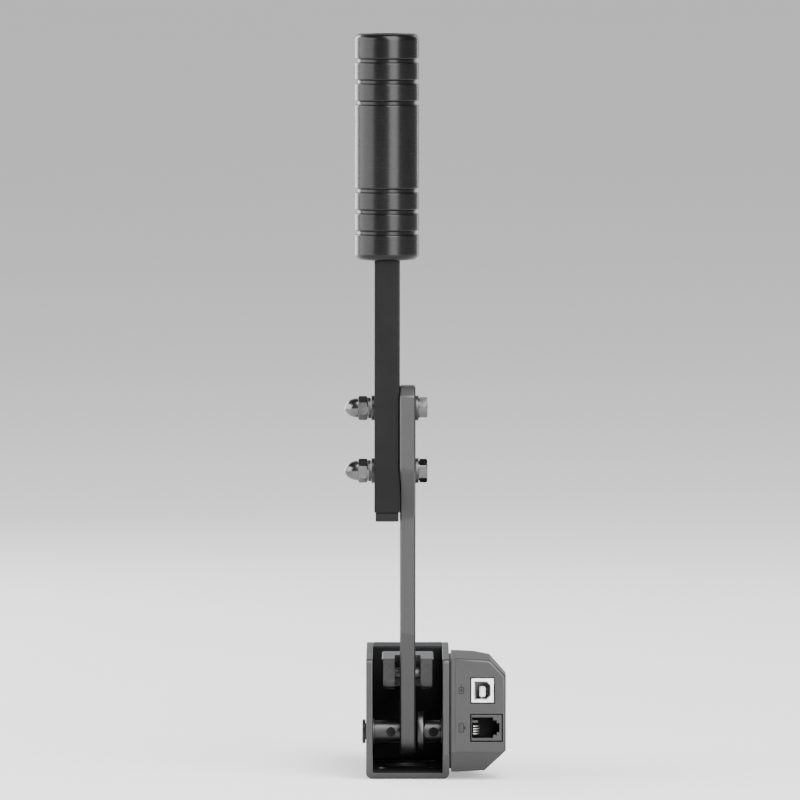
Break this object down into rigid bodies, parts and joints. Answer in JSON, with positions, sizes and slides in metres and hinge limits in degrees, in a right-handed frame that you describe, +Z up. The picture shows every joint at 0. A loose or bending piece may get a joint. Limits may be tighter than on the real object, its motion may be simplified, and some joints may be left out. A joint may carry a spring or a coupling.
{
  "type": "lever handbrake controller",
  "caption": "Upright lever handbrake for a driving simulator, with a grooved grip, a channel base, an elastomer load stack and a sensor box with sockets.",
  "frame": {"origin": "middle of the base's underside, which is the centre of its bolt pattern", "axes": "+Z up, +Y along the base from the socket end towards the load stack and the driver, +X towards the sensor box"},
  "size_m": [0.0773, 0.1404, 0.3586],
  "materials": {
    "coated_steel": "black powder coat, satin",
    "anodised": "black anodised",
    "black_steel": "black oxide",
    "bushing": "black acetal",
    "elastomer": "polyurethane",
    "moulding": "black",
    "socket_shell": "plated",
    "white_moulding": "white",
    "contact": "plated",
    "mark": "white print",
    "board": "solder mask",
    "magnet": "plated"
  },
  "bodies": {
    "base": {"base_frame": "coated_steel", "end_block": "anodised", "end_block_screws_left": "black_steel", "end_block_screws_right": "black_steel", "pivot_bush_left": "bushing", "pivot_bush_right": "bushing", "rod_guide_bush": "bushing", "elastomer_1": "elastomer", "elastomer_2": "elastomer", "elastomer_3": "elastomer", "sensor_housing": "moulding", "housing_backplate": "moulding", "housing_screws": "black_steel", "sensor_board": "board", "sensor_chip": "moulding", "usb_shell": "socket_shell", "usb_tongue": "white_moulding", "modular_jack": "moulding", "jack_contacts": "contact", "port_marks": "mark"},
    "lever": {"lever_arm": "coated_steel", "pivot_shaft": "black_steel", "shaft_cap": "black_steel", "collar_left": "anodised", "collar_right": "anodised", "collar_screws": "black_steel", "lever_flange": "anodised", "sensor_magnet": "magnet", "clevis_pin": "black_steel", "grip_bar": "anodised", "bar_end_cap": "moulding", "handle_bolts": "black_steel", "bolt_washers": "black_steel", "nut_washers": "black_steel", "spring_washers": "black_steel", "cap_nuts": "black_steel", "grip_stud": "black_steel", "grip": "anodised", "grip_plug": "moulding"},
    "push_rod": {"clevis_fork": "anodised", "push_rod": "black_steel", "preload_plate": "anodised", "stop_washer": "black_steel", "stop_nut": "black_steel", "jam_nut": "black_steel"},
    "stack_washer_1": {"stack_washer_1": "black_steel"},
    "stack_washer_2": {"stack_washer_2": "black_steel"}
  },
  "joints": [
    {"name": "lever_pull", "type": "hinge", "parent": "base", "child": "lever", "pos_m": [0, -0.0384, 0.0222], "axis": [-1, 0, 0], "range_deg": [0, 14], "stiffness_Nm_per_rad": 60, "springref_deg": -2.86},
    {"name": "rod_slide", "type": "slide", "parent": "base", "child": "push_rod", "axis": [0, 1, 0], "range_m": [0, 0.00692], "deforming": ["elastomer_1", "elastomer_2", "elastomer_3"]},
    {"name": "washer_1_slide", "type": "slide", "parent": "base", "child": "stack_washer_1", "axis": [0, 1, 0], "range_m": [0, 0.00462]},
    {"name": "washer_2_slide", "type": "slide", "parent": "base", "child": "stack_washer_2", "axis": [0, 1, 0], "range_m": [0, 0.00231]}
  ],
  "couplings": [
    {"joint": "rod_slide", "follows": "lever_pull", "m_per_rad": 0.028329},
    {"joint": "washer_1_slide", "follows": "lever_pull", "m_per_rad": 0.018886},
    {"joint": "washer_2_slide", "follows": "lever_pull", "m_per_rad": 0.009443}
  ]
}
